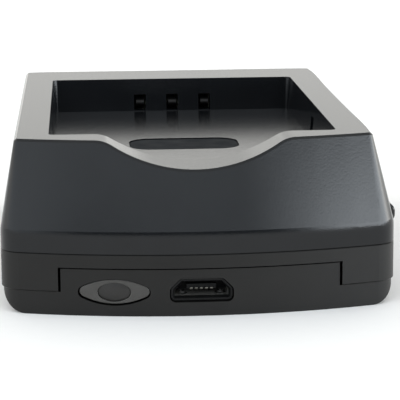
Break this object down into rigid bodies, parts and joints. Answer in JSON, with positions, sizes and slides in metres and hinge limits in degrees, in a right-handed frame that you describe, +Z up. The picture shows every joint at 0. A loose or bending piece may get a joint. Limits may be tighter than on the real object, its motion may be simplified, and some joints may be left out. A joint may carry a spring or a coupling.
{
  "type": "camera battery charger",
  "caption": "Desktop camera battery charger: a tapered battery cradle with a thumb notch on a slim base with an oval status window, a USB socket and a sprung side release.",
  "frame": {"origin": "middle of the flat base, on the table; the middle of the belt line in plan", "axes": "+X to the right seen from the socket end, +Y from the socket end to the back, +Z up"},
  "size_m": [0.0512, 0.072, 0.022],
  "materials": {
    "cradle_plastic": "fine-grained charcoal moulding",
    "case_plastic": "fine-grained charcoal moulding",
    "button_plastic": "fine-grained charcoal moulding",
    "plate_black": "polished dark plate",
    "window_grey": "smoked translucent plastic",
    "core_smoke": "smoked translucent plastic, clear core",
    "socket_metal": "dark-nickelled sheet",
    "socket_black": "moulded black insert",
    "contact_nickel": "nickel-plated spring bronze",
    "contact_gold": "gold-plated spring bronze",
    "screw_steel": "zinc-plated steel",
    "spring_steel": "bright spring strip",
    "board_green": "solder mask over glass epoxy",
    "ferrite": "sintered ferrite",
    "can_metal": "drawn aluminium can",
    "chip_black": "moulded epoxy",
    "passive_tan": "fired ceramic",
    "lamp_white": "diffusing epoxy",
    "natural_nylon": "natural moulding"
  },
  "bodies": {
    "charger": {"cradle_shell": "cradle_plastic", "blank_plate": "plate_black", "contact_minus": "contact_nickel", "contact_sense": "contact_nickel", "contact_plus": "contact_nickel", "contact_comb": "natural_nylon", "cradle_board": "board_green", "cradle_cover": "case_plastic", "release_spring": "spring_steel", "upper_case": "case_plastic", "lower_case": "case_plastic", "case_screws": "screw_steel", "led_bezel": "window_grey", "light_pipe": "core_smoke", "status_led": "lamp_white", "main_board": "board_green", "usb_shell": "socket_metal", "usb_insert": "socket_black", "usb_contacts": "contact_gold", "inductor": "ferrite", "bulk_capacitors": "can_metal", "charge_controller": "chip_black", "microcontroller": "chip_black", "switch_transistor": "chip_black", "rectifier_diode": "chip_black", "chip_passives": "passive_tan", "link_block": "natural_nylon", "link_pins": "contact_gold"},
    "button": {"release_button": "button_plastic"}
  },
  "joints": [
    {"name": "release_press", "type": "slide", "parent": "charger", "child": "button", "axis": [-1, 0, 0], "range_m": [0, 0.001], "stiffness_N_per_m": 300, "springref_m": -0.003, "deforming": ["release_spring"]}
  ]
}
